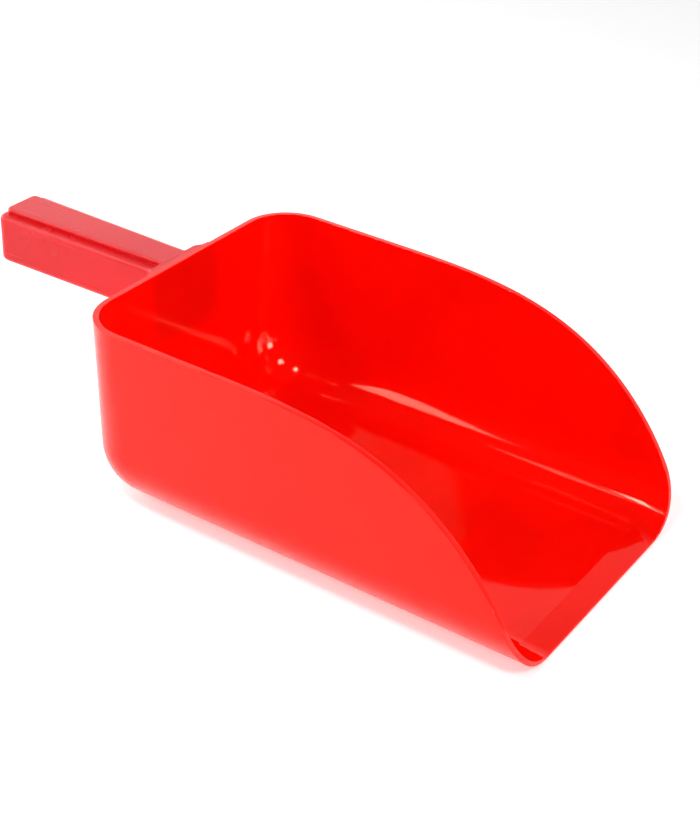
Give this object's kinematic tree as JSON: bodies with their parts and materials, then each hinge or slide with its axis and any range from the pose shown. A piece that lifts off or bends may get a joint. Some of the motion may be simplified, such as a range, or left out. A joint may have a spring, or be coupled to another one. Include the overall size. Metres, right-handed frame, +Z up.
{
  "type": "feed scoop",
  "caption": "Open moulded feed scoop: a rectangular pan with rounded floor edges and a curved mouth, on a straight box-section handle with a raised cover strip.",
  "frame": {"origin": "middle of the pan's flat underside, halfway from the back wall to the lip, on the surface that the scoop rests on", "axes": "+X runs from the handle to the mouth, +Y to the left of somebody who holds the handle and looks at the mouth, +Z up"},
  "size_m": [0.3343, 0.1522, 0.09],
  "materials": {
    "pan_plastic": "glossy moulded polypropylene, slightly translucent in the thin walls",
    "handle_plastic": "semi-gloss moulded polypropylene, opaque"
  },
  "bodies": {
    "root": {"pan": "pan_plastic", "handle": "handle_plastic", "handle_cover": "handle_plastic"}
  },
  "joints": []
}
